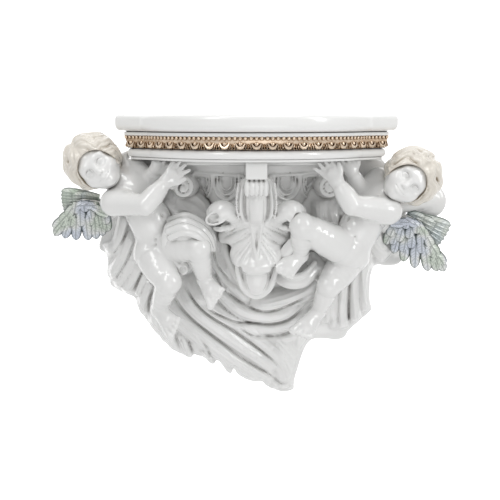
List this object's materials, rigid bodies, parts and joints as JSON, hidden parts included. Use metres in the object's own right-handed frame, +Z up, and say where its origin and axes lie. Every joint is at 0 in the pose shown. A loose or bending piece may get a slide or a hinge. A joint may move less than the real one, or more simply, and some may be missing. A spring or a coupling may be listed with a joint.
{
  "type": "figure corbel shelf",
  "caption": "Glazed white wall corbel: a bow-fronted moulded shelf with a gilt egg-and-dart band, carried by winged putti over a leafy console and draped cloth.",
  "frame": {"origin": "on the flat back of the figure bracket, on the corbel's centre line, 100 mm below the shelf's top", "axes": "+Z up, +Y into the wall, +X to the right as seen from the front"},
  "size_m": [0.6029, 0.215, 0.427],
  "materials": {
    "white_glaze": "glossy white glaze",
    "gilt": "gilt, rubbed on the high spots and brown in the recesses",
    "wing_glaze": "glossy, tinted pale blue and grey-green, darker between the feathers",
    "hair_glaze": "glossy white, brushed with pale gold"
  },
  "bodies": {
    "root": {"shelf": "white_glaze", "figure_bracket": "white_glaze"}
  },
  "joints": []
}
